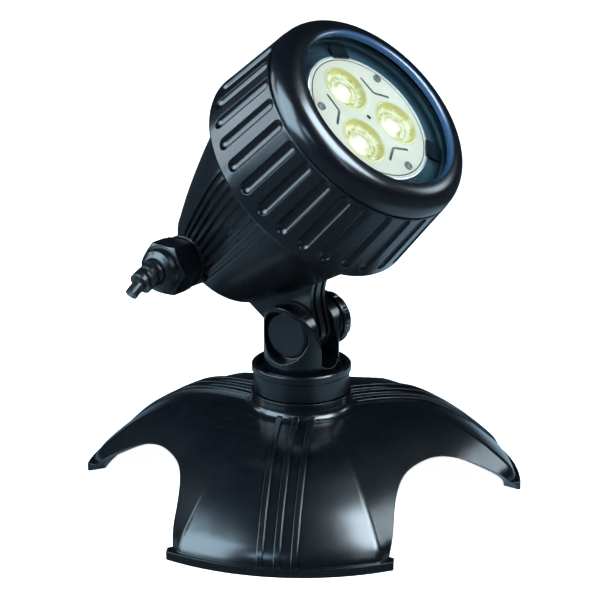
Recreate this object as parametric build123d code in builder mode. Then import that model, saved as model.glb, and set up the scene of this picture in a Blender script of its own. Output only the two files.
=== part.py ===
# Spot lamp: a tilting head on a swivelling yoke over a three-legged domed foot.
# Origin: centre of the foot circle on the floor. +Z is up and the beam leans up towards +X.
# The tilt pin runs along Y, with the bolt head on the -Y side and the knob on the +Y side.
# Head coordinates start at the middle of the front opening: n towards the belly,
# y as in the world, s along the beam, so everything behind the opening has a negative s.
from build123d import *
import os
from math import atan2, cos, degrees, hypot, radians, sin

os.makedirs("parts", exist_ok=True)

# ---------------------------------------------------------------- shared sizes
wall = 2.6                  # wall of the dome and of the housing's rear
neck_r = 15.0               # collar on top of the foot
neck_top = 40.2

# tilt pin
pivot_z = 58.0
bolt_r = 2.95
bore_r = 3.0
yoke_slot = 5.0             # half gap between the ears
counterbore_floor = 6.9     # recess for the bolt head, out from the mid plane
knob_seat = 9.6             # flat for the knob, out from the mid plane

knob_plane = Plane(origin=(0, 0, pivot_z), x_dir=(-1, 0, 0), z_dir=(0, 1, 0))
pin_section = Plane(origin=(0, 0, pivot_z), x_dir=(1, 0, 0), z_dir=(0, 0, 1))  # radius, y
pin_axis = Axis((0, 0, pivot_z), (0, 1, 0))

# place of the head
beam_angle = radians(43.6)  # above the horizontal
axis_offset = 38.5          # pivot to the beam axis
axis_back = 80.0            # front opening ahead of the pivot, along the beam

beam_dir = Vector(cos(beam_angle), 0, sin(beam_angle))
belly_dir = Vector(sin(beam_angle), 0, -cos(beam_angle))
head_origin = Vector(0, 0, pivot_z) - belly_dir * axis_offset + beam_dir * axis_back
beam = Axis(head_origin, beam_dir)
front_plane = Plane(origin=head_origin, x_dir=belly_dir, z_dir=beam_dir)
beam_section = Plane(origin=head_origin, x_dir=belly_dir, z_dir=Vector(0, -1, 0))  # n, s


def across(s):
    """Plane across the beam axis, s ahead of the front opening."""
    return front_plane.offset(s)


def head_point(n, y, s):
    """World place of a point given in head coordinates."""
    return head_origin + belly_dir * n + Vector(0, y, 0) + beam_dir * s


def polar(angle, radius):
    return (radius * cos(radians(angle)), radius * sin(radians(angle)))


def turned(section, axis, outline):
    """Solid of revolution from a straight-sided outline on a section plane."""
    with BuildPart() as body:
        with BuildSketch(section):
            with BuildLine():
                Polyline(*outline, outline[0])
            make_face()
        revolve(axis=axis)
    return body.part


# ---------------------------------------------------------------- base stand
foot_radius = 78.0          # outside of the foot flanges
foot_lip = 3.0              # height of the foot flange
foot_lip_in = 72.2          # inside of the foot flange
leg_half = 37.2             # half width of a leg at its foot flange
leg_angles = (60, 180, 300)
facet_angles = (0, 120, 240)    # the facets and arches lie between the legs
facet_share = 0.824         # distance of the facets, as a share of the dome radius
facet_reach = 110           # how far the facet cutters extend past the dome
crease_radius = 5.0         # where the rounded legs meet the facets
rib_start = 10.0            # radius at which the ribs begin
rib_pitch = 5.6
rib_width = 1.9
rib_height = 1.3
boss_r = 17.6
boss_top = 36.1
tube_r = 14.2               # tube below the boss, round the swivel stub
tube_bottom = 21.0
swivel_bore_r = 11.05

# dome profile: radius, height
dome = [(17.7, 30.5), (26.0, 30.3), (36.0, 29.3), (46.9, 26.6), (56.5, 21.6),
        (64.8, 15.9), (70.9, 10.6), (74.8, 6.6), (76.6, 3.2)]
# half of the arch opening between two legs: sideways, height
arch = [(40.2, 0.0), (36.8, 4.5), (31.5, 8.6), (24.5, 13.2), (18.0, 16.4), (10.0, 18.7),
        (0.0, 19.4)]


def push(points, depth):
    """Move an open profile inwards by depth along its normals."""
    pushed = []
    for i, (r, z) in enumerate(points):
        before = points[max(i - 1, 0)]
        after = points[min(i + 1, len(points) - 1)]
        dr, dz = after[0] - before[0], after[1] - before[1]
        length = hypot(dr, dz)
        pushed.append((r + dz / length * depth, z - dr / length * depth))
    return pushed


def dome_block(profile, facet, floor_z):
    """Solid dome of revolution, cut by three straight-sided profiles between the legs."""
    top = profile[0][1]
    with BuildPart() as block:
        with BuildSketch(Plane.XZ):
            with BuildLine():
                Polyline((0, floor_z), (0, top), profile[0])
                Spline(*profile)
                Polyline(profile[-1], (profile[-1][0], floor_z), (0, floor_z))
            make_face()
        revolve(axis=Axis.Z)
        for angle in facet_angles:
            c, s = polar(angle, 1)
            with BuildSketch(Plane(origin=(0, 0, 0), x_dir=(c, s, 0), z_dir=(s, -c, 0))):
                with BuildLine():
                    Polyline((-facet_reach, floor_z - 1), (-facet_reach, top + 0.5),
                             (facet[0][0], top + 0.5), facet[0])
                    Spline(*facet)
                    Polyline(facet[-1], (facet[-1][0], floor_z - 1),
                             (-facet_reach, floor_z - 1))
                make_face()
            extrude(amount=120, both=True, mode=Mode.INTERSECT)
    return block.part


def leg_ribs():
    """Three ribs down each leg, still solid underneath."""
    # full height over the first four stations, then falling to 55 % at the foot
    raised = [push(dome, -rib_height * (1 - 0.45 * max(0, i - 3) / 5))[i]
              for i in range(len(dome))]
    rib_middle = (foot_radius + rib_start) / 2
    with BuildPart() as ribs:
        with BuildSketch(Plane.XZ):
            with BuildLine():
                Polyline((0, 20), (0, raised[0][1]), raised[0])
                Spline(*raised)
                Polyline(raised[-1], (raised[-1][0], 1.5), (60, 1.5), (0, 20))
            make_face()
        revolve(axis=Axis.Z)
        with BuildSketch(Plane.XY):
            for angle in leg_angles:
                with PolarLocations(0, 1, start_angle=angle):
                    with Locations((rib_middle, 0), (rib_middle, rib_pitch),
                                   (rib_middle, -rib_pitch)):
                        Rectangle(foot_radius - rib_start, rib_width)
        extrude(amount=60, mode=Mode.INTERSECT)
        with BuildSketch(Plane.XY):
            Circle(foot_radius)
        extrude(amount=60, mode=Mode.INTERSECT)
    return ribs.part


def base_stand():
    facet = [(r * facet_share, z) for r, z in dome]
    inner_profile = push(dome, wall)
    inner_profile[0] = (inner_profile[0][0], dome[0][1] - wall)
    outer_block = dome_block(dome, facet, 0.0)
    inner_block = dome_block(inner_profile, push(facet, wall), -1)
    ribs = leg_ribs()

    with BuildPart() as soft_block:
        add(outer_block)
        creases = [e for e in soft_block.edges()
                   if e.geom_type not in (GeomType.LINE, GeomType.CIRCLE)
                   and e.bounding_box().size.Z > 15]
        fillet(creases, radius=crease_radius)

    with BuildPart() as stand:
        add(soft_block.part)
        # flange disc: the hollow and the arches leave three flanges of it
        with BuildSketch(Plane.XY):
            Circle(foot_radius)
        extrude(amount=foot_lip)
        add(ribs)
        add(inner_block, mode=Mode.SUBTRACT)
        # the flange ends are square to each leg
        for angle in leg_angles:
            with BuildSketch(Plane(origin=(0, 0, -1), x_dir=(*polar(angle, 1), 0),
                                   z_dir=(0, 0, 1))):
                with Locations((77, leg_half + 10), (77, -leg_half - 10)):
                    Rectangle(60, 20)
            extrude(amount=foot_lip + 1.05, mode=Mode.SUBTRACT)
        # inside of the flange
        with BuildSketch(Plane.XY):
            Circle(inner_profile[-1][0] + 0.5)
            Circle(foot_lip_in, mode=Mode.SUBTRACT)
        extrude(amount=foot_lip)
        # swivel boss, with a tube below it for the swivel stub
        with BuildSketch(Plane.XZ):
            with BuildLine():
                Polyline((0, tube_bottom), (tube_r, tube_bottom), (tube_r, 28.6),
                         (21.2, 29.6), (21.2, 30.4))
                ThreePointArc((21.2, 30.4), (18.6, 31.3), (boss_r, 33.8))
                Polyline((boss_r, 33.8), (boss_r, boss_top), (neck_r, boss_top),
                         (neck_r, neck_top), (0, neck_top), (0, tube_bottom))
            make_face()
        revolve(axis=Axis.Z)
        with BuildSketch(Plane.XY.offset(10)):
            Circle(swivel_bore_r)
        extrude(amount=40, mode=Mode.SUBTRACT)
        # arch openings, cut outwards from 28 mm off the centre
        half_width = arch[0][0]
        for angle in facet_angles:
            c, s = polar(angle, 1)
            with BuildSketch(Plane(origin=(28 * c, 28 * s, 0), x_dir=(-s, c, 0),
                                   z_dir=(c, s, 0))):
                with BuildLine():
                    Spline(*arch, *[(-y, z) for y, z in reversed(arch[:-1])])
                    Polyline((-half_width, 0), (-half_width, -2), (half_width, -2),
                             (half_width, 0))
                make_face()
            extrude(amount=70, mode=Mode.SUBTRACT)
    return stand.part


# ---------------------------------------------------------------- locking ring and yoke
ring_r = 16.9
ring_lip_r = 17.45
ring_bottom = 36.2
ring_top = 45.9
ring_cup_r = 15.9
web_bottom, web_top = 42.7, 44.0    # web of the ring, over the yoke's flange

stub_r = 11.0               # swivel stub below the yoke
stub_bottom = 24.0
stub_hollow_r = 7.8
yoke_r = 13.2
yoke_flange_r = 14.4
yoke_top = 72.0             # blank height before the ears are rounded
slot_floor = 46.4
ear_r = 11.0
ear_flank = ear_r - 0.15    # half width where the flanks meet the round top
ear_flank_z = pivot_z + 1.6
counterbore_r = 9.4


def lock_ring():
    return turned(Plane.XZ, Axis.Z, [
        (neck_r + 0.05, ring_bottom), (ring_r - 0.4, ring_bottom), (ring_r, ring_bottom + 0.4),
        (ring_r, ring_top - 3.0), (ring_lip_r, ring_top - 2.5), (ring_lip_r, ring_top - 0.4),
        (ring_lip_r - 0.4, ring_top), (ring_cup_r + 0.2, ring_top),
        (ring_cup_r, ring_top - 0.2), (ring_cup_r, web_top), (yoke_r + 0.1, web_top),
        (yoke_r + 0.1, web_bottom), (neck_r + 0.05, web_bottom)])


def yoke():
    with BuildPart() as body:
        add(turned(Plane.XZ, Axis.Z, [
            (0, stub_bottom), (stub_r - 0.8, stub_bottom), (stub_r, stub_bottom + 0.8),
            (stub_r, neck_top + 0.1), (yoke_flange_r, neck_top + 0.1),
            (yoke_flange_r, web_bottom - 0.1), (yoke_r, web_bottom - 0.1),
            (yoke_r, yoke_top), (0, yoke_top)]))
        # view along Y of the two ears: flanks leaning in to a round top about the pivot
        with BuildSketch(Plane.XZ):
            with BuildLine():
                Polyline((-20, 20), (20, 20), (20, 43), (yoke_r, 43), (yoke_r, 49.5),
                         (ear_flank, ear_flank_z))
                ThreePointArc((ear_flank, ear_flank_z), (0, pivot_z + ear_r),
                              (-ear_flank, ear_flank_z))
                Polyline((-ear_flank, ear_flank_z), (-yoke_r, 49.5), (-yoke_r, 43),
                         (-20, 43), (-20, 20))
            make_face()
        extrude(amount=30, both=True, mode=Mode.INTERSECT)
        # slot for the arm, with a rounded floor
        with BuildSketch(Plane.YZ):
            with BuildLine():
                Polyline((-yoke_slot, 80), (-yoke_slot, slot_floor + 1.5))
                ThreePointArc((-yoke_slot, slot_floor + 1.5), (0, slot_floor),
                              (yoke_slot, slot_floor + 1.5))
                Polyline((yoke_slot, slot_floor + 1.5), (yoke_slot, 80), (-yoke_slot, 80))
            make_face()
        extrude(amount=30, both=True, mode=Mode.SUBTRACT)
        # recess for the bolt head in the -Y ear
        with BuildSketch(Plane(origin=(0, -counterbore_floor, pivot_z), x_dir=(1, 0, 0),
                               z_dir=(0, -1, 0))):
            Circle(counterbore_r)
        extrude(amount=20, mode=Mode.SUBTRACT)
        # flat seat for the knob on the +Y ear
        with BuildSketch(knob_plane.offset(knob_seat)):
            Rectangle(60, 22.5)
        extrude(amount=20, mode=Mode.SUBTRACT)
        # pin bore through both ears
        with BuildSketch(knob_plane.offset(-30)):
            Circle(bore_r)
        extrude(amount=60, mode=Mode.SUBTRACT)
        # hollow underside of the swivel stub
        with BuildSketch(Plane.XY.offset(20)):
            Circle(stub_hollow_r)
        extrude(amount=19, mode=Mode.SUBTRACT)
    return body.part


# ---------------------------------------------------------------- pivot hardware
bolt_head_r = 8.6
bolt_end = 16.3
washer_r = 8.4
washer_thickness = 0.6
washer_outer = yoke_slot - 0.05     # outer face of each washer, from the mid plane
knob_start = knob_seat + 0.06
knob_r = 9.8
insert_start = knob_start + 1.6


def pivot_bolt():
    seat = -counterbore_floor
    return turned(pin_section, pin_axis, [
        (0, seat - 2.2), (7.5, seat - 2.2), (8.3, seat - 1.75), (bolt_head_r, seat - 1.0),
        (bolt_head_r, seat), (bolt_r, seat), (bolt_r, bolt_end - 0.6),
        (bolt_r - 0.6, bolt_end), (0, bolt_end)])


def pivot_washers():
    with BuildPart() as washers:
        for y in (-washer_outer, washer_outer - washer_thickness):
            with BuildSketch(knob_plane.offset(y)):
                Circle(washer_r)
                Circle(bore_r + 0.05, mode=Mode.SUBTRACT)
            extrude(amount=washer_thickness)
    return washers.part


def pivot_knob():
    # stepped cap: radius, distance from the knob's start
    profile = [(bore_r + 0.2, 0), (6.4, 0), (6.4, 0.9), (7.5, 1.1), (7.5, 1.9), (8.6, 2.1),
               (8.6, 2.9), (9.5, 3.2), (knob_r, 3.8), (knob_r, 6.6), (9.0, 7.5), (0, 7.8),
               (0, 6.9), (bore_r + 0.2, 6.9)]
    with BuildPart() as knob:
        add(turned(pin_section, pin_axis, [(r, knob_start + y) for r, y in profile]))
        # grip scallops round the rim
        with BuildSketch(knob_plane.offset(knob_start + 3.9)):
            with PolarLocations(knob_r + 1.1, 12):
                Circle(1.5)
        extrude(amount=8, mode=Mode.SUBTRACT)
        # pocket for the threaded insert
        with BuildSketch(knob_plane.offset(insert_start)):
            RegularPolygon(radius=5.0, side_count=6)
        extrude(amount=5.3, mode=Mode.SUBTRACT)
    return knob.part


def knob_insert():
    with BuildPart() as insert:
        with BuildSketch(knob_plane.offset(insert_start)):
            RegularPolygon(radius=4.95, side_count=6)
            Circle(bore_r, mode=Mode.SUBTRACT)
        extrude(amount=5.25)
    return insert.part


# ---------------------------------------------------------------- housing
sleeve_r = 36.0             # straight front sleeve, under the bezel
sleeve_front = -6.3
sleeve_rear = -36.5
chamber_r = 33.2            # lamp chamber inside the sleeve
groove_r = 34.4             # floor of the O-ring groove
groove_front, groove_rear = -10.4, -12.6
housing_rear = -92.3
arm_half = 4.3              # half thickness of the arm
knuckle_r = 9.5
channel_width = 1.7
fin_width = 1.3
fin_step = 5.4              # degrees between fins

gland_s = -85.5             # gland axis along the beam
gland_n = -1.4              # gland axis a little above the beam axis
gland_seat = 26.6           # gland seat, from the mid plane towards -Y
gland_centre = head_point(gland_n, 0, gland_s)
gland_plane = Plane(origin=gland_centre, x_dir=beam_dir, z_dir=(0, -1, 0))
gland_section = Plane(origin=gland_centre, x_dir=beam_dir, z_dir=belly_dir)  # radius, out
gland_axis = Axis(gland_centre, (0, -1, 0))

# tapering rear: radius, s
housing_outer = [(sleeve_r, sleeve_rear), (35.4, -39.5), (34.9, -44.0), (33.9, -50.0),
                 (31.2, -60.0), (28.0, -70.0), (24.4, -80.0), (21.6, -87.0)]
housing_inner = [(chamber_r, sleeve_rear)] + [(r - wall, s) for r, s in housing_outer[1:]]


def around_knuckle(radius, angle):
    """Point (n, s) at a radius and angle about the pivot."""
    n, s = polar(angle, radius)
    return (axis_offset + n, -axis_back + s)


def cooling_fins():
    """Raised fins on both flanks, still solid through to the inside."""
    with BuildPart() as fins:
        with BuildSketch(beam_section):
            with BuildLine():
                Line((20, -41.5), (35.9, -41.5))
                Spline((35.9, -41.5), (35.0, -50.0), (32.4, -60.0), (29.2, -70.0),
                       (25.5, -80.0), (23.4, -84.0))
                Polyline((23.4, -84.0), (15, -84.0), (20, -41.5))
            make_face()
        revolve(axis=beam)
        with BuildSketch(across(-95)):
            for flank_angle in (90, 270):
                for i in range(-4, 5):
                    with PolarLocations(0, 1, start_angle=flank_angle + i * fin_step):
                        with Locations((30, 0)):
                            Rectangle(20, fin_width)
        extrude(amount=70, mode=Mode.INTERSECT)
    return fins.part


def housing():
    fins = cooling_fins()
    with BuildPart() as body:
        # outer shape, solid
        with BuildSketch(beam_section):
            with BuildLine():
                Polyline((0, sleeve_front), (sleeve_r - 0.8, sleeve_front),
                         (sleeve_r, sleeve_front - 0.8), (sleeve_r, groove_front),
                         (groove_r, groove_front), (groove_r, groove_rear),
                         (sleeve_r, groove_rear), (sleeve_r, sleeve_rear))
                Spline(*housing_outer)
                Spline(housing_outer[-1], (20.2, -89.6), (17.0, -91.6), (12.0, housing_rear))
                Polyline((12.0, housing_rear), (0, housing_rear), (0, sleeve_front))
            make_face()
        revolve(axis=beam)
        add(fins)
        # seat boss for the cable gland
        with BuildSketch(gland_plane.offset(12)):
            Circle(9.2)
        extrude(amount=gland_seat - 12)
        # arm, down to the knuckle
        knuckle_front = around_knuckle(knuckle_r, 40)
        with BuildSketch(beam_section.offset(-arm_half)):
            with BuildLine():
                Polyline((10, -60.0), (10, -90.6), (19.5, -89.6), (29.6, -87.6))
                ThreePointArc((29.6, -87.6), around_knuckle(knuckle_r, -60), knuckle_front)
                Spline(knuckle_front, (38.5, -69.3), (34.0, -66.2), (30.6, -61.6),
                       (29.0, -56.5), tangents=[(-0.64, 0.77), (-0.2, 1.0)])
                Polyline((29.0, -56.5), (24, -52.0), (10, -60.0))
            make_face()
        extrude(amount=2 * arm_half)
        # two channels along the arm's front edge leave three fins
        channel_outer = around_knuckle(11.5, 40)
        channel_inner = around_knuckle(7.6, 40)
        for offset in (-2.9, 1.2):
            with BuildSketch(beam_section.offset(offset)):
                with BuildLine():
                    Spline(channel_outer, (41.0, -68.3), (36.4, -64.6), (33.0, -59.0),
                           (31.0, -50.0))
                    Line((31.0, -50.0), (28.4, -50.0))
                    Spline((28.4, -50.0), (29.4, -60.0), (33.4, -66.9), (38.3, -70.7),
                           channel_inner)
                    Line(channel_inner, channel_outer)
                make_face()
            extrude(amount=channel_width, mode=Mode.SUBTRACT)
        # lamp chamber, leaving the shelf at radius 30.6 for the lamp's retaining ring
        with BuildSketch(beam_section):
            with BuildLine():
                Polyline((0, sleeve_front), (chamber_r, sleeve_front), (chamber_r, -9.0),
                         (30.6, -9.0), (30.6, -11.5), (chamber_r, -13.4),
                         (chamber_r, sleeve_rear))
                Spline(*housing_inner)
                Polyline(housing_inner[-1], (16.0, -89.5), (0, -89.5), (0, sleeve_front))
            make_face()
        revolve(axis=beam, mode=Mode.SUBTRACT)
        # flat spot face for the gland's flange and seal
        with BuildSketch(gland_plane.offset(gland_seat)):
            Circle(10.3)
        extrude(amount=12, mode=Mode.SUBTRACT)
        # bores for the gland and for the pivot bolt
        with BuildSketch(gland_plane.offset(5)):
            Circle(5.55)
        extrude(amount=30, mode=Mode.SUBTRACT)
        with BuildSketch(knob_plane.offset(-10)):
            Circle(bore_r)
        extrude(amount=20, mode=Mode.SUBTRACT)
    return body.part


# ---------------------------------------------------------------- bezel, glass and seals
open_r = 29.86              # front opening
glass_front, glass_back = -2.3, -4.8
glass_r = 33.1
gasket_in = 30.6
nose_n, nose_s = 31.4, -7.3     # centre of the rounded nose
nose_r = 7.4
grip_front_r, grip_rear_r = 39.1, 42.0
grip_front, grip_rear = -8.4, -38.3
flutes = 30
flute_round = 2.6           # radius of the flute's round floor
flute_depth = 1.1
flute_front, flute_rear = -10.4, -32.2      # centres of the rounded flute ends


def bezel():
    glass_seat = (open_r + 0.25, glass_front + 0.02)
    with BuildPart() as body:
        with BuildSketch(beam_section):
            with BuildLine():
                Polyline(glass_seat, (open_r, -0.8), (open_r + 0.05, -0.25))
                ThreePointArc((open_r + 0.05, -0.25), (nose_n - 0.9, nose_s + nose_r - 0.08),
                              (nose_n, nose_s + nose_r))
                ThreePointArc((nose_n, nose_s + nose_r),
                              (nose_n + nose_r * cos(radians(45)),
                               nose_s + nose_r * sin(radians(45))),
                              (nose_n + nose_r, nose_s))
                Polyline((nose_n + nose_r, nose_s), (38.2, -7.5), (38.2, -8.1),
                         (grip_front_r - 0.2, -8.1), (grip_front_r, grip_front),
                         (grip_rear_r, grip_rear + 1.0), (grip_rear_r - 0.3, grip_rear + 0.2),
                         (grip_rear_r - 1.0, grip_rear), (38.2, grip_rear),
                         (sleeve_r + 0.05, grip_rear + 2.6), (sleeve_r + 0.05, -5.9),
                         (33.3, -5.9), (33.3, glass_front + 0.02), glass_seat)
            make_face()
        revolve(axis=beam)
        # grip flutes: round-bottomed grooves that end short of the rear rim
        grip_slope = (grip_rear_r - grip_front_r) / (grip_front - grip_rear)
        centre_r = grip_front_r + flute_round - flute_depth
        start = head_point(centre_r, 0, flute_front)
        end = head_point(centre_r + (flute_front - flute_rear) * grip_slope, 0, flute_rear)
        with BuildPart(mode=Mode.PRIVATE) as flute:
            with BuildSketch(Plane(origin=start, z_dir=(end - start))):
                Circle(flute_round)
            extrude(amount=(end - start).length)
            with Locations(end):
                Sphere(flute_round)
            with Locations(start):
                Sphere(flute_round)
        for i in range(flutes):
            add(flute.part.rotate(beam, (i + 0.5) * 360 / flutes), mode=Mode.SUBTRACT)
    return body.part


def lens_glass():
    return turned(beam_section, beam, [
        (0, glass_front), (glass_r - 0.5, glass_front), (glass_r, glass_front - 0.5),
        (glass_r, glass_back + 0.3), (glass_r - 0.3, glass_back), (0, glass_back)])


def lens_gasket():
    front, rear = glass_back - 0.02, sleeve_front + 0.05
    return turned(beam_section, beam, [
        (gasket_in, front), (glass_r, front), (glass_r, rear), (gasket_in, rear)])


def housing_o_ring():
    with BuildPart() as ring:
        with BuildSketch(beam_section):
            with Locations((35.19, (groove_front + groove_rear) / 2)):
                Circle(0.78)
        revolve(axis=beam)
    return ring.part


# ---------------------------------------------------------------- lamp
lamp_r = 24.7
face_s = -5.9               # front face of the lamp
plate_thickness = 0.9
heatsink_floor = -16.3      # floor of the cup behind the face
heatsink_rear = -42.0
optic_r = 8.8
board_s = -16.2             # rear face of the LED board
emitter_s = -14.65
emitter_height = 0.9
tab_angles = (45.0, 165.0, 285.0)
optic_angles = (66.0, 186.0, 306.0)
screw_angles = (6.0, 126.0, 246.0)
optic_spots = [polar(angle, 12.1) for angle in optic_angles]
screw_spots = [polar(angle, 20.7) for angle in screw_angles]
pin_spots = [(0, -2.65), (0, 2.65)]


def lamp_retainer():
    """Seat ring on the housing shelf, with three tabs reaching over the lamp's rim."""
    with BuildPart() as retainer:
        add(turned(beam_section, beam, [
            (25.0, -8.95), (33.1, -8.95), (33.1, -7.6), (26.6, -7.6), (25.6, -7.2),
            (25.0, -7.2)]))
        # tab tops, then tab posts: rear s, middle radius, radial size, height
        for rear, middle_r, size, height in ((-5.85, 26.4, 5.6, 0.8), (-7.7, 26.6, 3.0, 2.0)):
            with BuildSketch(across(rear)):
                for angle in tab_angles:
                    with PolarLocations(0, 1, start_angle=angle):
                        with Locations((middle_r, 0)):
                            Rectangle(size, 7.2)
            extrude(amount=height)
    return retainer.part


def lamp_face_plate():
    with BuildPart() as plate:
        with BuildSketch(across(face_s - plate_thickness)):
            Circle(lamp_r - 0.6)
            with Locations(*optic_spots):
                Circle(optic_r + 0.05, mode=Mode.SUBTRACT)
            with Locations(*screw_spots):
                Circle(0.95, mode=Mode.SUBTRACT)
            Circle(0.9, mode=Mode.SUBTRACT)
        extrude(amount=plate_thickness)
        # V-shaped grooves between each screw and the centre
        with BuildSketch(across(face_s - 0.35)):
            for angle in screw_angles:
                tip = polar(angle, 13.0)
                for side in (-1, 1):
                    end = polar(angle + side * 21.0, 17.2)
                    du, dv = end[0] - tip[0], end[1] - tip[1]
                    middle = ((tip[0] + end[0]) / 2, (tip[1] + end[1]) / 2, 0)
                    with Locations(Location(middle, (0, 0, 1), degrees(atan2(dv, du)))):
                        SlotOverall(hypot(du, dv), 1.0)
        extrude(amount=1, mode=Mode.SUBTRACT)
        # thin ring groove near the rim
        with BuildSketch(across(face_s - 0.4)):
            Circle(23.35)
            Circle(22.95, mode=Mode.SUBTRACT)
        extrude(amount=1, mode=Mode.SUBTRACT)
    return plate.part


def lamp_heatsink():
    cup_r = lamp_r - 1.4
    plate_r = lamp_r - 0.55     # recess for the face plate
    plate_floor = face_s - 0.92
    with BuildPart() as heatsink:
        with BuildSketch(beam_section):
            with BuildLine():
                Polyline((0, heatsink_floor), (cup_r, heatsink_floor), (cup_r, plate_floor),
                         (plate_r, plate_floor), (plate_r, face_s), (lamp_r, face_s - 0.1),
                         (lamp_r, -9.4))
                Spline((lamp_r, -9.4), (24.5, -17.0), (19.4, -28.0), (13.2, -38.0),
                       (10.4, heatsink_rear))
                Polyline((10.4, heatsink_rear), (0, heatsink_rear), (0, heatsink_floor))
            make_face()
        revolve(axis=beam)
        # slots between the 18 fins
        with BuildSketch(across(-41.0)):
            with PolarLocations(0, 18):
                with Locations((20.0, 0)):
                    Rectangle(14, 2.4)
        extrude(amount=28.5, mode=Mode.SUBTRACT)
    return heatsink.part


def led_board():
    with BuildPart() as board:
        with BuildSketch(across(board_s)):
            Circle(lamp_r - 1.5)
        extrude(amount=1.5)
    return board.part


def led_emitters():
    """Square chips, each with a tapered round dome on its front."""
    with BuildPart() as emitters:
        with BuildSketch(across(emitter_s)):
            with Locations(*optic_spots):
                Rectangle(6.6, 6.6)
        extrude(amount=emitter_height)
        for spot in optic_spots:
            with BuildSketch(across(emitter_s + emitter_height)):
                with Locations(spot):
                    Circle(2.4)
            extrude(amount=0.9, taper=20)
    return emitters.part


def led_optics():
    """Collimating lenses: flared, with a dished front and a hollow over the emitter."""
    with BuildPart() as optics:
        for n, y in optic_spots:
            centre = head_point(n, y, 0)
            with BuildSketch(Plane(origin=centre, x_dir=belly_dir, z_dir=Vector(0, -1, 0))):
                with BuildLine():
                    ThreePointArc((0, face_s - 0.1), (2.2, face_s - 0.5), (3.8, face_s - 1.7))
                    Polyline((3.8, face_s - 1.7), (7.0, face_s - 1.7), (7.9, face_s + 0.1),
                             (optic_r, face_s + 0.1), (optic_r, face_s - 1.6))
                    Spline((optic_r, face_s - 1.6), (7.6, -10.0), (5.6, -12.3), (4.2, -13.6))
                    Polyline((4.2, -13.6), (3.0, -13.6), (2.7, -11.6), (0, -11.2),
                             (0, face_s - 0.1))
                make_face()
            revolve(axis=Axis(centre, beam_dir))
    return optics.part


def lamp_screws():
    with BuildPart() as screws:
        # heads, then shanks: rear s, radius, length
        for rear, radius, length in ((face_s + 0.01, 1.5, 0.55), (face_s - 6.0, 0.85, 6.2)):
            with BuildSketch(across(rear)):
                with Locations(*screw_spots):
                    Circle(radius)
            extrude(amount=length)
        # cross slots
        with BuildSketch(across(face_s + 0.3)):
            with Locations(*screw_spots):
                Rectangle(2.0, 0.4)
                Rectangle(0.4, 2.0)
        extrude(amount=0.6, mode=Mode.SUBTRACT)
    return screws.part


def lamp_driver_base():
    with BuildPart() as base:
        with BuildSketch(across(-50.0)):
            RectangleRounded(13.0, 16.5, 3.5)
        extrude(amount=7.95)
        with BuildSketch(across(-50.5)):
            with Locations(*pin_spots):
                Circle(0.8)
        extrude(amount=5, mode=Mode.SUBTRACT)
    return base.part


def lamp_pins():
    with BuildPart() as pins:
        with BuildSketch(across(-56.5)):
            with Locations(*pin_spots):
                Circle(0.78)
        extrude(amount=11.0)
    return pins.part


def lamp_socket():
    with BuildPart() as socket:
        with BuildSketch(across(-62.0)):
            RectangleRounded(10.5, 16.0, 2.0)
        extrude(amount=11.9)
        # pockets for the contacts
        with BuildSketch(across(-60.0)):
            with Locations(*pin_spots):
                Rectangle(3.0, 3.4)
        extrude(amount=12, mode=Mode.SUBTRACT)
        # holes for the supply leads
        with BuildSketch(across(-63.0)):
            with Locations(*pin_spots):
                Circle(1.05)
        extrude(amount=5, mode=Mode.SUBTRACT)
    return socket.part


def socket_contacts():
    with BuildPart() as contacts:
        with BuildSketch(across(-59.5)):
            with Locations(*pin_spots):
                Circle(1.4)
                Circle(0.8, mode=Mode.SUBTRACT)
        extrude(amount=8.5)
    return contacts.part


# ---------------------------------------------------------------- cable gland
gland_turn = 14.0           # degrees, shared by both hexagons
flange_start = gland_seat + 1.25
nut_start = gland_seat + 3.55


def gland_turned(start, profile):
    """Turned about the gland axis from pairs of radius and distance out from start."""
    return turned(gland_section, gland_axis, [(r, start + out) for r, out in profile])


def gland_body():
    with BuildPart() as body:
        add(gland_turned(gland_seat, [
            (3.6, -12.0), (5.5, -12.0), (5.5, 0.01), (5.5, 1.25), (6.6, 1.25), (6.6, 3.5),
            (5.6, 3.5), (5.6, 8.4), (3.6, 8.4)]))
        with BuildSketch(gland_plane.offset(flange_start)):
            RegularPolygon(radius=9.6, side_count=6, rotation=gland_turn)
            Circle(6.0, mode=Mode.SUBTRACT)
        extrude(amount=2.2)
    return body.part


def gland_o_ring():
    with BuildPart() as ring:
        with BuildSketch(gland_section):
            with Locations((6.7, gland_seat + 0.62)):
                Ellipse(1.05, 0.56)
        revolve(axis=gland_axis)
    return ring.part


def gland_seal():
    return gland_turned(gland_seat, [
        (2.22, 1.6), (3.5, 1.6), (3.5, 8.5), (4.3, 9.6), (3.2, 11.5), (2.22, 11.5)])


def gland_nut():
    with BuildPart() as nut:
        with BuildSketch(gland_plane.offset(nut_start)):
            RegularPolygon(radius=9.8, side_count=6, rotation=gland_turn)
        extrude(amount=7.4)
        # the hexagon's corners are turned to a cone at the outer end
        add(gland_turned(nut_start, [(0, -1), (9.9, -1), (9.9, 6.4), (8.3, 7.5), (0, 7.5)]),
            mode=Mode.INTERSECT)
        # rounded crown
        add(gland_turned(nut_start, [
            (0, 7.3), (7.8, 7.3), (7.6, 8.6), (6.9, 9.8), (5.7, 10.7), (4.9, 11.0),
            (0, 11.0)]))
        # bore
        add(gland_turned(nut_start, [
            (0, -1), (5.65, -1), (5.65, 6.2), (4.6, 7.6), (4.3, 7.8), (4.3, 12), (0, 12)]),
            mode=Mode.SUBTRACT)
    return nut.part


# ---------------------------------------------------------------- cable
cable_r = 2.2
core_offset = 0.95


def cable_point(out, down=0.0, back=0.0):
    """Place on the cable: out from the gland seat, down, and back towards -X."""
    return gland_centre + Vector(-back, -(gland_seat + out), -down)


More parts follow.
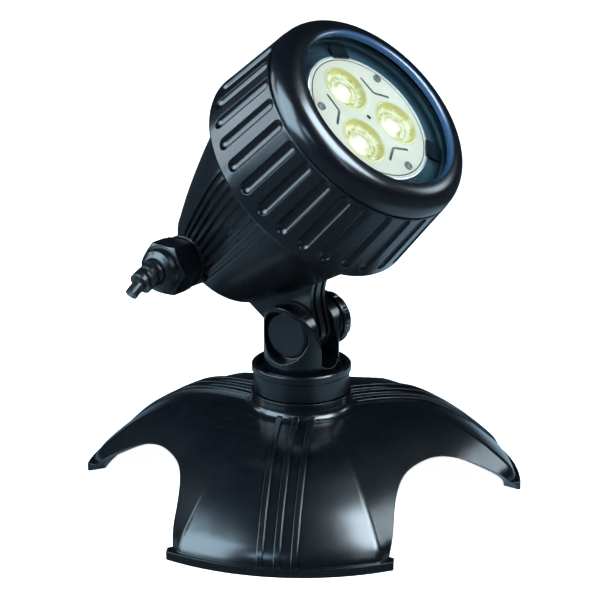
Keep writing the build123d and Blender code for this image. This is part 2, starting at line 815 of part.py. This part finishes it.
cable_start = cable_point(-14.0)
cable_bend = [cable_point(14.7), cable_point(18.0, 0.7), cable_point(22.0, 2.4, 0.1),
              cable_point(26.5, 5.0, 0.35)]
cable_end_dir = (-0.03, -0.82, -0.57)


def cable_run(start, bend, end_dir, discs, holes=()):
    """Sweep discs less holes, given as (offset, radius), straight out and round the bend."""
    with BuildPart() as run:
        with BuildLine():
            Line(start, bend[0])
            Spline(*bend, tangents=[(0, -1, 0), end_dir])
        with BuildSketch(Plane(origin=start, z_dir=(0, -1, 0), x_dir=beam_dir)):
            for offset, radius in discs:
                with Locations((offset, 0)):
                    Circle(radius)
            for offset, radius in holes:
                with Locations((offset, 0)):
                    Circle(radius, mode=Mode.SUBTRACT)
        sweep()
    return run.part


def cable_jacket():
    return cable_run(cable_start, cable_bend, cable_end_dir, discs=[(0, cable_r)],
                     holes=[(core_offset, 0.8), (-core_offset, 0.8)])


def cable_cores():
    return cable_run(cable_start, cable_bend, cable_end_dir,
                     discs=[(core_offset, 0.78), (-core_offset, 0.78)])


def strain_sleeve():
    """Soft sleeve that carries the cable out of the nut."""
    return cable_run(cable_point(11.6), cable_bend[:3], (-0.02, -0.88, -0.47),
                     discs=[(0, 4.05)], holes=[(0, cable_r + 0.12)])


def lead_wires():
    """Two supply leads from the cable cores to the lamp socket."""
    with BuildPart() as leads:
        for side in (-1, 1):
            start = cable_start + beam_dir * (core_offset * side) + Vector(0, 0.06, 0)
            end = head_point(0, 2.65 * side, -59.4)
            with BuildLine():
                Spline(start, start + Vector(0, 3.2, 0) + beam_dir * (1.5 * side + 2.0),
                       head_point(side * 1.0, 0.6 + 2.2 * side, -68.0), end,
                       tangents=[(0, 1, 0), (beam_dir.X, beam_dir.Y, beam_dir.Z)])
            with BuildSketch(Plane(origin=start, z_dir=(0, 1, 0), x_dir=beam_dir)):
                Circle(0.75)
            sweep()
    return leads.part


# ---------------------------------------------------------------- export
# each piece and its file take the name of the function that builds it
for build in (base_stand, lock_ring, yoke,
              pivot_bolt, pivot_washers, pivot_knob, knob_insert,
              housing, bezel, lens_glass, lens_gasket, housing_o_ring,
              lamp_retainer, lamp_face_plate, lamp_heatsink, led_board, led_emitters,
              led_optics, lamp_screws, lamp_driver_base, lamp_pins, lamp_socket,
              socket_contacts, gland_body, gland_o_ring, gland_seal, gland_nut,
              cable_jacket, cable_cores, strain_sleeve, lead_wires):
    piece = build()
    piece.label = build.__name__
    export_step(piece, "parts/" + build.__name__ + ".step")
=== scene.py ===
# A black plastic spot lamp: a tilted head in a yoke on a stand, with its cable.
# +Z is up and the floor is z = 0. The head pivots on the Z axis, and its beam points to +X and up.
# Sizes are in mm until multiplied by MM. The shader graphs of the floor work in metres.
import bpy
import bmesh
from math import sin, cos, tan, radians, pi
from mathutils import Vector, Matrix

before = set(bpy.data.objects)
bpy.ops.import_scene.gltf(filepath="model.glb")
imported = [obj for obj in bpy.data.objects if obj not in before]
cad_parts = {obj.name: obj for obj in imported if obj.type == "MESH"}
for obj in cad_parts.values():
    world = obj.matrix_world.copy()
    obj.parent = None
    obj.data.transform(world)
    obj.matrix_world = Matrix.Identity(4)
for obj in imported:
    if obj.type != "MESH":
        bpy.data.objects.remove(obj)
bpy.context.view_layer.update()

MM = 0.001

# ------------------------------------------------------------------ head frame
BEAM_TILT = radians(43.6)
BEAM = Vector((cos(BEAM_TILT), 0, sin(BEAM_TILT)))
BELLY = Vector((sin(BEAM_TILT), 0, -cos(BEAM_TILT)))  # across the beam, to +X and down
SIDE = Vector((0, 1, 0))
PIVOT = Vector((0, 0, 58.0))
MOUTH = PIVOT - BELLY * 38.5 + BEAM * 80.0  # centre of the head's open end

CAMERA_TURN = radians(36.0)  # camera's turn about Z, from straight along +Y


# ------------------------------------------------------------------ shader graphs
def feed(socket, source):
    """link a socket to an output, or set its value; a three-part colour becomes opaque"""
    if isinstance(source, bpy.types.NodeSocket):
        socket.id_data.links.new(source, socket)
    elif socket.type == "RGBA" and len(source) == 3:
        socket.default_value = (*source, 1.0)
    else:
        socket.default_value = source


class Graph:
    """the node tree of a material or world, built from small steps that each return an output"""

    def __init__(self, owner, output="ShaderNodeOutputMaterial"):
        owner.use_nodes = True
        self.owner = owner
        self.tree = owner.node_tree
        self.tree.nodes.clear()
        self.output = self.add(output)

    def add(self, kind, inputs=None, **settings):
        node = self.tree.nodes.new(kind)
        for key, value in settings.items():
            setattr(node, key, value)
        for key, source in (inputs or {}).items():
            feed(node.inputs[key], source)
        return node

    def finish(self, shader):
        feed(self.output.inputs["Surface"], shader)
        return self.owner

    def coords(self, scale=(1, 1, 1)):
        place = self.add("ShaderNodeTexCoord").outputs["Object"]
        mapping = self.add("ShaderNodeMapping", {"Scale": scale, "Vector": place})
        return mapping.outputs["Vector"]

    def noise(self, place, scale, detail=4.0, rough=0.5, distort=0.0):
        inputs = {"Scale": scale, "Detail": detail, "Roughness": rough,
                  "Distortion": distort, "Vector": place}
        return self.add("ShaderNodeTexNoise", inputs).outputs["Fac"]

    def ramp(self, factor, stops):
        node = self.add("ShaderNodeValToRGB", {"Fac": factor})
        elements = node.color_ramp.elements
        while len(elements) < len(stops):
            elements.new(0.5)
        for element, (position, colour) in zip(elements, stops):
            element.position = position
            element.color = (*colour, 1.0)
        return node.outputs["Color"]

    def remap(self, value, span, to=(0.0, 1.0)):
        """carry span onto to, clamped at both ends"""
        inputs = {"From Min": span[0], "From Max": span[1],
                  "To Min": to[0], "To Max": to[1], "Value": value}
        return self.add("ShaderNodeMapRange", inputs, clamp=True).outputs["Result"]

    def math(self, operation, a, b=0.0):
        return self.add("ShaderNodeMath", {0: a, 1: b}, operation=operation).outputs[0]

    def plus(self, a, b):
        return self.math("ADD", a, b)

    def minus(self, a, b):
        return self.math("SUBTRACT", a, b)

    def times(self, a, b):
        return self.math("MULTIPLY", a, b)

    def length(self, a, b):
        return self.math("SQRT", self.plus(self.times(a, a), self.times(b, b)))

    def dot(self, a, b):
        node = self.add("ShaderNodeVectorMath", {0: a, 1: b}, operation="DOT_PRODUCT")
        return node.outputs["Value"]

    def split(self, vector):
        return self.add("ShaderNodeSeparateXYZ", {"Vector": vector}).outputs

    def head_mm(self, *axes):
        """how far the shaded point lies from the head's mouth along each axis, in mm"""
        place = self.add("ShaderNodeTexCoord").outputs["Object"]
        inputs = {0: place, 1: tuple(MOUTH * MM)}
        offset = self.add("ShaderNodeVectorMath", inputs, operation="SUBTRACT").outputs[0]
        return [self.times(self.dot(offset, tuple(axis)), 1000.0) for axis in axes]

    def mix(self, factor, a, b):
        """blend two colours; inputs 6 and 7 and output 2 are the mix node's colour sockets"""
        return self.add("ShaderNodeMix", {0: factor, 6: a, 7: b}, data_type="RGBA").outputs[2]

    def mix_shaders(self, factor, a, b):
        return self.add("ShaderNodeMixShader", {0: factor, 1: a, 2: b}).outputs[0]

    def bevel(self, radius, samples=4):
        node = self.add("ShaderNodeBevel", {"Radius": radius * MM}, samples=samples)
        return node.outputs[0]

    def bump(self, height, depth, strength, normal=None):
        inputs = {"Strength": strength, "Distance": depth * MM, "Height": height}
        if normal:
            inputs["Normal"] = normal
        return self.add("ShaderNodeBump", inputs).outputs[0]

    def principled(self, inputs):
        return self.add("ShaderNodeBsdfPrincipled", inputs).outputs[0]


# ------------------------------------------------------------------ plastics
BLACK = (0.0024, 0.0030, 0.0040)
RUBBED = (0.02, 0.023, 0.027)
DUST = (0.10, 0.105, 0.11)
LIT_BEARING = radians(98)  # lit side of the throat, from BELLY towards SIDE


def throat_light(look, colour, radii, tone, glow, top=None):
    """bluish light in the throat round the lens, most of it on one side

    The tone fades out over radii and, if top is given, above that height along the beam.
    Returns the new base colour and the emission strength.
    """
    across, sideways, along = look.head_mm(BELLY, SIDE, BEAM)
    radius = look.length(across, sideways)
    turn = look.plus(look.times(across, cos(LIT_BEARING)), look.times(sideways, sin(LIT_BEARING)))
    turn = look.math("DIVIDE", turn, radius)
    mask = look.times(look.remap(radius, span=radii, to=(1.0, 0.0)),
                      look.remap(turn, span=(-0.25, 0.55), to=(0.10, 1.0)))
    mask = look.times(mask, look.remap(along, span=(-12.0, -11.0)))
    if top is not None:
        mask = look.times(mask, look.remap(along, span=(top, top + 0.3), to=(1.0, 0.0)))
    colour = look.mix(mask, colour, tone)
    # strongest beside the lamp plate, fading outwards
    fall = look.times(look.remap(radius, span=(25.0, 29.5), to=(1.5, 0.12)), glow)
    return colour, look.times(mask, fall)


def settle_dust(look, place, normal, colour, amount):
    """speckled dust on surfaces that face up"""
    upward = look.remap(look.split(normal)["Z"], span=(0.3, 1.0))
    specks = look.noise(place, scale=260.0, detail=6.0, rough=0.7)
    cover = look.times(upward, look.remap(specks, span=(0.45, 0.75), to=(0.0, amount)))
    return look.mix(cover, colour, DUST)


def plastic(name, base=BLACK, rough=(0.22, 0.34), grain_scale=900.0, grain_depth=0.006,
            peel_depth=0.02, edge=0.5, dust=0.0, throat=None):
    """moulded plastic: fine grain, slow orange peel, softened and rubbed edges, light dust"""
    look = Graph(bpy.data.materials.new(name))
    place = look.coords()
    peel = look.noise(place, scale=60.0, detail=3.0)
    grain = look.noise(place, scale=grain_scale, detail=2.0, rough=0.6)
    patches = look.noise(place, scale=22.0, detail=5.0, rough=0.62, distort=0.4)

    # where the rounded normal leaves the true one, the edge is rubbed
    rounded = look.bevel(edge, samples=6)
    normal = look.add("ShaderNodeNewGeometry").outputs["Normal"]
    rub = look.remap(look.dot(rounded, normal), span=(0.97, 0.72))
    rub = look.times(rub, look.remap(patches, span=(0.42, 0.62), to=(0.15, 0.75)))

    darker = tuple(part * 0.85 for part in base)
    lighter = tuple(part * 1.25 for part in base)
    colour = look.mix(look.remap(patches, span=(0.3, 0.7)), darker, lighter)
    colour = look.mix(rub, colour, RUBBED)
    emission = {}
    if throat:
        colour, strength = throat_light(look, colour, **throat)
        emission = {"Emission Color": throat["tone"], "Emission Strength": strength}
    if dust:
        colour = settle_dust(look, place, normal, colour, dust)

    roughness = look.remap(patches, span=(0.25, 0.75), to=rough)
    roughness = look.plus(roughness, look.times(rub, 0.10))
    surface = look.bump(peel, depth=peel_depth, strength=0.6, normal=rounded)
    surface = look.bump(grain, depth=grain_depth, strength=0.6, normal=surface)
    return look.finish(look.principled({
        "Base Color": colour,
        "Roughness": roughness,
        "Normal": surface,
        "IOR": 1.5,
        "Specular IOR Level": 0.5,
        **emission,
    }))


# ------------------------------------------------------------------ other opaque materials
def simple(name, dark, light, rough=(0.3, 0.5), metal=0.0, scale=80.0, grain_depth=0.01,
           edge=0.2, bead_pitch=None):
    """blotches between two colours, grain and softened edges; beads ring the part along Y"""
    look = Graph(bpy.data.materials.new(name))
    place = look.coords()
    blotches = look.noise(place, scale=scale, detail=5.0, rough=0.6)
    grain = look.noise(place, scale=700.0, detail=3.0, rough=0.6)
    colour = look.mix(look.remap(blotches, span=(0.3, 0.7)), dark, light)
    roughness = look.remap(blotches, span=(0.3, 0.7), to=rough)
    normal = look.bevel(edge)
    if bead_pitch:
        along = look.split(look.coords())["Y"]
        wave = look.math("SINE", look.times(along, 2000.0 * pi / bead_pitch))
        beads = look.remap(wave, span=(-0.9, 0.4))
        normal = look.bump(beads, depth=0.45, strength=1.0, normal=normal)
    return look.finish(look.principled({
        "Base Color": colour,
        "Roughness": roughness,
        "Metallic": metal,
        "Normal": look.bump(grain, depth=grain_depth, strength=0.5, normal=normal),
    }))


def plate(name):
    """white enamelled lamp plate: faint blotches, fine grain, painted shade in the moulded
    grooves, a faint painted glow
    """
    look = Graph(bpy.data.materials.new(name))
    place = look.coords()
    across, sideways, along = look.head_mm(BELLY, SIDE, BEAM)
    radius = look.length(across, sideways)
    blotches = look.noise(place, scale=90.0, detail=5.0, rough=0.6)
    colour = look.mix(look.remap(blotches, span=(0.3, 0.7)),
                      (0.84, 0.76, 0.60), (0.90, 0.82, 0.67))
    # painted shade: points sunk below the plate's face turn near black, unevenly
    groove_shade = look.remap(along, span=(-5.96, -6.08))
    uneven = look.noise(place, scale=420.0, detail=3.0, rough=0.6)
    groove_shade = look.times(groove_shade, look.remap(uneven, span=(0.3, 0.6), to=(0.75, 1.0)))
    colour = look.mix(groove_shade, colour, (0.055, 0.060, 0.055))
    # paler rim
    rim = look.remap(radius, span=(23.4, 23.6), to=(0.0, 0.8))
    colour = look.mix(rim, colour, (0.90, 0.83, 0.70))
    roughness = look.remap(blotches, span=(0.3, 0.7), to=(0.34, 0.48))
    grain = look.noise(place, scale=800.0, detail=3.0, rough=0.6)
    return look.finish(look.principled({
        "Base Color": colour,
        # a faint painted glow in the plate's own colour
        "Emission Color": colour,
        "Emission Strength": 0.04,
        "Roughness": roughness,
        "Specular IOR Level": 0.35,
        "Normal": look.bump(grain, depth=0.006, strength=0.4, normal=look.bevel(0.12)),
    }))


# ------------------------------------------------------------------ lenses and window
LENS_CIRCLE = 12.1                  # radius the three lens centres lie on
LENS_BEARINGS = (66.0, 186.0, 306.0)  # degrees, from BELLY towards SIDE
LENS_REACH = 9.4                    # radius of the area each lens pattern covers


def lens_fields(look):
    """distance from the lens centre, distance from its painted highlight spot, and its six lobes
    """
    across, sideways = look.head_mm(BELLY, SIDE)
    total = None
    for bearing in map(radians, LENS_BEARINGS):
        from_x = look.minus(across, LENS_CIRCLE * cos(bearing))
        from_y = look.minus(sideways, LENS_CIRCLE * sin(bearing))
        centre = look.length(from_x, from_y)
        inside = look.math("LESS_THAN", centre, LENS_REACH)
        # the painted highlight spot sits off centre, mostly towards -Y
        highlight_spot = look.length(look.minus(from_x, 0.6), look.plus(from_y, 3.2))
        angle = look.math("ARCTAN2", from_y, from_x)
        lobes = look.math("SINE", look.times(angle, 6.0))
        fields = [look.times(field, inside) for field in (centre, highlight_spot, lobes)]
        total = [look.plus(a, b) for a, b in zip(total, fields)] if total else fields
    return total


def optic(name):
    """moulded collimator lenses: warm yellow, with rings, lobes, a painted highlight spot and a
    faint painted glow
    """
    look = Graph(bpy.data.materials.new(name))
    place = look.coords()
    centre, highlight_spot, lobes = lens_fields(look)
    rings = look.math("SINE", look.times(centre, 3.3))
    mottle = look.noise(place, scale=420.0, detail=4.0, rough=0.6, distort=0.8)
    tone = look.plus(look.times(rings, 0.16), look.times(lobes, 0.12))
    tone = look.plus(tone, look.remap(mottle, span=(0.3, 0.7)))
    colour = look.ramp(tone, [
        (0.0, (0.50, 0.45, 0.16)),
        (0.40, (0.82, 0.78, 0.42)),
        (0.8, (0.97, 0.95, 0.74)),
        (1.0, (0.99, 0.98, 0.86)),
    ])
    # darker band where the lens seats in the plate, pale lip outside it
    band = look.times(look.remap(centre, span=(6.9, 7.5)),
                      look.remap(centre, span=(8.0, 8.3), to=(1.0, 0.0)))
    colour = look.mix(band, colour, (0.60, 0.55, 0.20))
    colour = look.mix(look.remap(centre, span=(8.1, 8.4)), colour, (0.90, 0.86, 0.52))
    # painted highlight: a pale spot that also glows, off centre alike on every lens
    painted_highlight = look.remap(highlight_spot, span=(1.2, 4.6), to=(1.0, 0.0))
    colour = look.mix(painted_highlight, colour, (1.0, 1.0, 0.90))
    # painted glow: the lenses shine faintly all over, strongest at the painted highlight spot
    emission = look.plus(look.times(painted_highlight, 0.42), 0.14)
    relief = look.plus(look.times(rings, 0.5), look.plus(mottle, look.times(lobes, 0.4)))
    return look.finish(look.principled({
        "Base Color": colour,
        "Emission Color": colour,
        "Emission Strength": emission,
        "Roughness": 0.12,
        "Transmission Weight": 0.18,
        "IOR": 1.49,
        "Coat Weight": 0.3,
        "Normal": look.bump(relief, depth=0.18, strength=0.7),
    }))


def pane(name):
    """flat clear window with a weak sheen, faint smears and a slightly green rim"""
    look = Graph(bpy.data.materials.new(name))
    across, sideways = look.head_mm(BELLY, SIDE)
    smears = look.noise(look.coords(scale=(1, 3, 1)),
                        scale=70.0, detail=5.0, rough=0.65, distort=0.6)
    rim = look.remap(look.length(across, sideways), span=(32.6, 33.1))
    tint = look.mix(look.remap(smears, span=(0.35, 0.7)), (0.965, 0.985, 0.98), (1.0, 1.0, 1.0))
    tint = look.mix(rim, tint, (0.35, 0.55, 0.50))
    through = look.add("ShaderNodeBsdfTransparent", {"Color": tint})
    polish = look.remap(smears, span=(0.35, 0.75), to=(0.03, 0.12))
    sheen = look.add("ShaderNodeBsdfGlossy", {"Roughness": polish})
    fresnel = look.add("ShaderNodeFresnel", {"IOR": 1.45})
    share = look.times(fresnel.outputs[0], 0.05)
    return look.finish(look.mix_shaders(share, through.outputs[0], sheen.outputs[0]))


# ------------------------------------------------------------------ looks of the pieces
HOUSING_THROAT = dict(radii=(33.3, 33.8), tone=(0.04, 0.085, 0.12), glow=0.7)
BEZEL_THROAT = dict(radii=(30.5, 31.6), tone=(0.036, 0.085, 0.18), glow=0.0)
RETAINER_THROAT = dict(radii=(60.0, 61.0), tone=(0.028, 0.062, 0.085), glow=0.9, top=-6.6)
CABLE_RUBBER = dict(dark=(0.0045, 0.005, 0.006), light=(0.009, 0.010, 0.012),
                    grain_depth=0.02, scale=240.0)

LOOKS = {
    "stand": plastic("stand_plastic_look", rough=(0.18, 0.27), peel_depth=0.014,
                     dust=0.03, edge=0.32),
    "housing": plastic("housing_plastic_look", rough=(0.20, 0.30), grain_scale=600.0,
                       grain_depth=0.002, dust=0.02, edge=0.4, throat=HOUSING_THROAT),
    "bezel": plastic("bezel_plastic_look", rough=(0.17, 0.25), grain_depth=0.003,
                     peel_depth=0.014, edge=0.35, throat=BEZEL_THROAT),
    "yoke": plastic("yoke_plastic_look", rough=(0.17, 0.27)),
    "ring": plastic("ring_plastic_look", rough=(0.18, 0.28), edge=0.4),
    "knob": plastic("knob_plastic_look", rough=(0.18, 0.28), edge=0.35),
    "bolt": plastic("bolt_plastic_look", rough=(0.22, 0.32), edge=0.3,
                    grain_scale=600.0, grain_depth=0.004),
    "gland": plastic("gland_plastic_look", rough=(0.2, 0.3), edge=0.4),
    "retainer": plastic("retainer_plastic_look", base=(0.004, 0.007, 0.011),
                        rough=(0.16, 0.26), edge=0.25, throat=RETAINER_THROAT),
    "washer": simple("washer_look", dark=(0.03, 0.03, 0.032), light=(0.05, 0.05, 0.055)),
    "rubber": simple("seal_rubber_look", dark=(0.012, 0.012, 0.013),
                     light=(0.022, 0.022, 0.023), rough=(0.55, 0.75), grain_depth=0.02),
    "cable": simple("cable_rubber_look", rough=(0.30, 0.42), **CABLE_RUBBER),
    "sleeve": simple("sleeve_rubber_look", rough=(0.28, 0.40), bead_pitch=4.2, **CABLE_RUBBER),
    "brass": simple("brass_look", dark=(0.62, 0.42, 0.16), light=(0.78, 0.58, 0.26),
                    rough=(0.22, 0.36), metal=1.0),
    "steel": simple("steel_look", dark=(0.42, 0.43, 0.45), light=(0.62, 0.63, 0.65),
                    rough=(0.22, 0.36), metal=1.0, edge=0.1),
    "alu": simple("cast_aluminium_look", dark=(0.58, 0.59, 0.61), light=(0.74, 0.75, 0.77),
                  rough=(0.32, 0.46), metal=1.0, grain_depth=0.03),
    "white": plate("lamp_white_look"),
    "board": simple("board_white_look", dark=(0.74, 0.75, 0.74), light=(0.82, 0.83, 0.82),
                    rough=(0.3, 0.4)),
    "ceramic": simple("ceramic_look", dark=(0.70, 0.67, 0.58), light=(0.80, 0.77, 0.69),
                      rough=(0.5, 0.7), grain_depth=0.04),
    "base_white": simple("lamp_base_look", dark=(0.68, 0.68, 0.66), light=(0.78, 0.78, 0.76),
                         rough=(0.4, 0.55)),
    "wire": simple("wire_look", dark=(0.05, 0.05, 0.055), light=(0.09, 0.09, 0.10),
                   rough=(0.35, 0.5)),
    "phosphor": simple("phosphor_look", dark=(0.90, 0.72, 0.16), light=(0.96, 0.84, 0.32),
                       rough=(0.4, 0.5)),
    "glass": pane("lens_glass_look"),
    "optic": optic("optic_look"),
    # lens gasket: black rubber, coloured teal as painted bluish light of the throat
    "gasket": simple("gasket_painted_light_look", dark=(0.020, 0.045, 0.055), light=(0.035, 0.075, 0.090),
                     rough=(0.35, 0.5), grain_depth=0.02),
    "screw": simple("screw_look", dark=(0.10, 0.105, 0.10), light=(0.40, 0.41, 0.40),
                    rough=(0.28, 0.42), metal=0.5, edge=0.15, scale=900.0),
}

# piece: key of its look
PIECE_LOOKS = {
    "base_stand": "stand", "lock_ring": "ring", "yoke": "yoke",
    "pivot_bolt": "bolt", "pivot_washers": "washer", "pivot_knob": "knob",
    "knob_insert": "brass", "housing": "housing", "housing_o_ring": "rubber",
    "bezel": "bezel", "lens_glass": "glass", "lens_gasket": "gasket",
    "lamp_retainer": "retainer", "lamp_heatsink": "alu", "lamp_face_plate": "white",
    "led_optics": "optic", "led_emitters": "phosphor", "led_board": "board",
    "lamp_screws": "screw", "lamp_driver_base": "base_white", "lamp_pins": "steel",
    "lamp_socket": "ceramic", "socket_contacts": "brass", "lead_wires": "wire",
    "gland_body": "gland", "gland_o_ring": "rubber", "gland_seal": "rubber",
    "gland_nut": "gland", "strain_sleeve": "sleeve", "cable_jacket": "cable",
    "cable_cores": "wire",
}


def dress_pieces():
    for piece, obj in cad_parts.items():
        material = LOOKS[PIECE_LOOKS[piece]]
        if not obj.material_slots:
            obj.data.materials.append(material)
        for slot in obj.material_slots:
            slot.material = material


# ------------------------------------------------------------------ floor
FLOOR_RADIUS = 3.0  # metres
FLOOR_SEGMENTS = 96


def floor_look():
    """white paper, replaced in reflections by a dim floor with lit areas left and right"""
    look = Graph(bpy.data.materials.new("floor_look"))
    blotches = look.noise(look.coords(), scale=40.0, detail=3.0)
    colour = look.mix(look.remap(blotches, span=(0.3, 0.7)),
                      (0.90, 0.905, 0.91), (0.92, 0.925, 0.93))
    ground = look.split(look.coords())
    x, y = ground["X"], ground["Y"]
    radius = look.length(x, y)
    paper = look.principled({
        "Base Color": colour,
        "Roughness": 0.7,
        "Specular IOR Level": 0.0,
        "Emission Color": (1.0, 1.0, 1.0),
        # a little less light close to the stand
        "Emission Strength": look.remap(radius, span=(0.08, 0.20), to=(0.98, 1.1)),
    })

    # distances to the camera's right and towards the camera
    right = look.plus(look.times(x, cos(CAMERA_TURN)), look.times(y, sin(CAMERA_TURN)))
    near = look.minus(look.times(x, sin(CAMERA_TURN)), look.times(y, cos(CAMERA_TURN)))
    lit = look.plus(look.remap(right, span=(0.035, 0.075)),
                    look.remap(right, span=(-0.045, -0.10), to=(0.0, 0.5)))
    lit = look.times(lit, look.remap(near, span=(0.10, 0.16), to=(1.0, 0.0)))
    lit = look.times(lit, look.remap(radius, span=(0.16, 0.24), to=(1.0, 0.05)))
    dim = look.remap(near, span=(-0.12, 0.02), to=(0.05, 0.19))
    strength = look.plus(dim, look.times(lit, 0.85))
    mirrored = look.add("ShaderNodeEmission", {"Color": (0.50, 0.78, 1.0), "Strength": strength})
    rays = look.add("ShaderNodeLightPath").outputs
    look.finish(look.mix_shaders(rays["Is Glossy Ray"], paper, mirrored.outputs[0]))
    look.owner.cycles.emission_sampling = "NONE"
    return look.owner


def build_floor():
    mesh = bpy.data.meshes.new("floor")
    disc = bmesh.new()
    centre = disc.verts.new((0, 0, 0))
    rim = []
    for i in range(FLOOR_SEGMENTS):
        angle = 2 * pi * i / FLOOR_SEGMENTS
        rim.append(disc.verts.new((FLOOR_RADIUS * cos(angle), FLOOR_RADIUS * sin(angle), 0)))
    for i in range(FLOOR_SEGMENTS):
        disc.faces.new((centre, rim[i], rim[(i + 1) % FLOOR_SEGMENTS]))
    disc.to_mesh(mesh)
    disc.free()
    floor = bpy.data.objects.new("floor", mesh)
    bpy.context.scene.collection.objects.link(floor)
    floor.data.materials.append(floor_look())


# ------------------------------------------------------------------ world
def build_world():
    """white to the camera, a dim bluish studio to every other ray"""
    world = bpy.data.worlds.new("studio")
    bpy.context.scene.world = world
    sky = Graph(world, output="ShaderNodeOutputWorld")
    studio = sky.add("ShaderNodeBackground", {"Color": (0.40, 0.60, 0.85), "Strength": 0.035})
    backdrop = sky.add("ShaderNodeBackground", {"Color": (1, 1, 1), "Strength": 1.0})
    rays = sky.add("ShaderNodeLightPath").outputs
    sky.finish(sky.mix_shaders(rays["Is Camera Ray"], studio.outputs[0], backdrop.outputs[0]))


# ------------------------------------------------------------------ camera
# in a frame turned by CAMERA_TURN about Z
CAMERA_PLACE = (-0.574, -657.3216, 282.3756)
CAMERA_TARGET = (-0.574, 0, 68.4684)
CAMERA_ROLL = 0.0025  # radians
SENSOR_WIDTH = 36.0
FOCAL_LENGTH = 119.52


def from_turned(place):
    """from the turned frame to the lamp's own"""
    x, y, z = place
    return Vector((cos(CAMERA_TURN) * x - sin(CAMERA_TURN) * y,
                   sin(CAMERA_TURN) * x + cos(CAMERA_TURN) * y, z))


def build_camera():
    """aim the camera; returns its right, up and forward directions before the roll"""
    place = from_turned(CAMERA_PLACE)
    forward = (from_turned(CAMERA_TARGET) - place).normalized()
    right = forward.cross(Vector((0, 0, 1))).normalized()
    up = right.cross(forward)
    rolled_right = right * cos(CAMERA_ROLL) + up * sin(CAMERA_ROLL)
    rolled_up = up * cos(CAMERA_ROLL) - right * sin(CAMERA_ROLL)
    turn = Matrix((rolled_right, rolled_up, -forward)).transposed().to_4x4()
    data = bpy.data.cameras.new("camera")
    data.sensor_width = SENSOR_WIDTH
    data.lens = FOCAL_LENGTH
    data.clip_start = 0.01
    data.clip_end = 20
    camera = bpy.data.objects.new("camera", data)
    camera.matrix_world = Matrix.Translation(place * MM) @ turn
    bpy.context.scene.collection.objects.link(camera)
    bpy.context.scene.camera = camera
    return right, up, forward


# ------------------------------------------------------------------ lights
COOL = (0.72, 0.89, 1.0)
BLUE = (0.58, 0.82, 1.0)
FILL_BLUE = (0.48, 0.74, 1.0)
PANEL_AIM = Vector((0, 0, 80))
PANEL_DISTANCE = 900

# name, azimuth (0 is towards the camera, + is its right), elevation, half width and
# half height as angles from the lamp (all degrees), radiance, colour, seen by diffuse, by glossy
PANELS = [
    ("left_box", -57, 21, 22, 22, 12.0, BLUE, True, True),
    ("left_side", -91, 15, 10, 13, 6.5, COOL, False, True),
    ("left_facet", -106, 30, 5, 7, 6.0, COOL, False, True),
    ("right_strip", 31, 27, 4, 20, 4.5, COOL, True, True),
    ("right_box", 52, 41, 15, 16, 26.0, COOL, False, True),
    ("right_side", 103, 25, 6, 7, 9.0, COOL, False, True),
    ("front_fill", -19, 17, 5, 5, 10.0, FILL_BLUE, True, True),
    ("face_light", 50, 30, 10, 10, 17.5, COOL, True, False),
]


def build_panels(right, up, forward):
    """soft panels round the lamp, each facing it"""
    for name, azimuth, elevation, half_w, half_h, radiance, colour, diffuse, glossy in PANELS:
        around, above = radians(azimuth), radians(elevation)
        outward = (right * (sin(around) * cos(above)) + up * sin(above)
                   - forward * (cos(around) * cos(above)))
        place = PANEL_AIM + outward * PANEL_DISTANCE
        width, height = (2 * PANEL_DISTANCE * tan(radians(half)) * MM for half in (half_w, half_h))
        light = bpy.data.lights.new(name, "AREA")
        light.shape = "RECTANGLE"
        light.size = width
        light.size_y = height
        light.energy = radiance * pi * width * height
        light.color = colour
        panel = bpy.data.objects.new(name, light)
        x = up.cross(outward).normalized()
        y = outward.cross(x)
        turn = Matrix((x, y, outward)).transposed().to_4x4()
        panel.matrix_world = Matrix.Translation(place * MM) @ turn
        panel.visible_diffuse = diffuse
        panel.visible_glossy = glossy
        bpy.context.scene.collection.objects.link(panel)


dress_pieces()
build_floor()
build_world()
build_panels(*build_camera())
bpy.context.scene.view_settings.view_transform = "Standard"
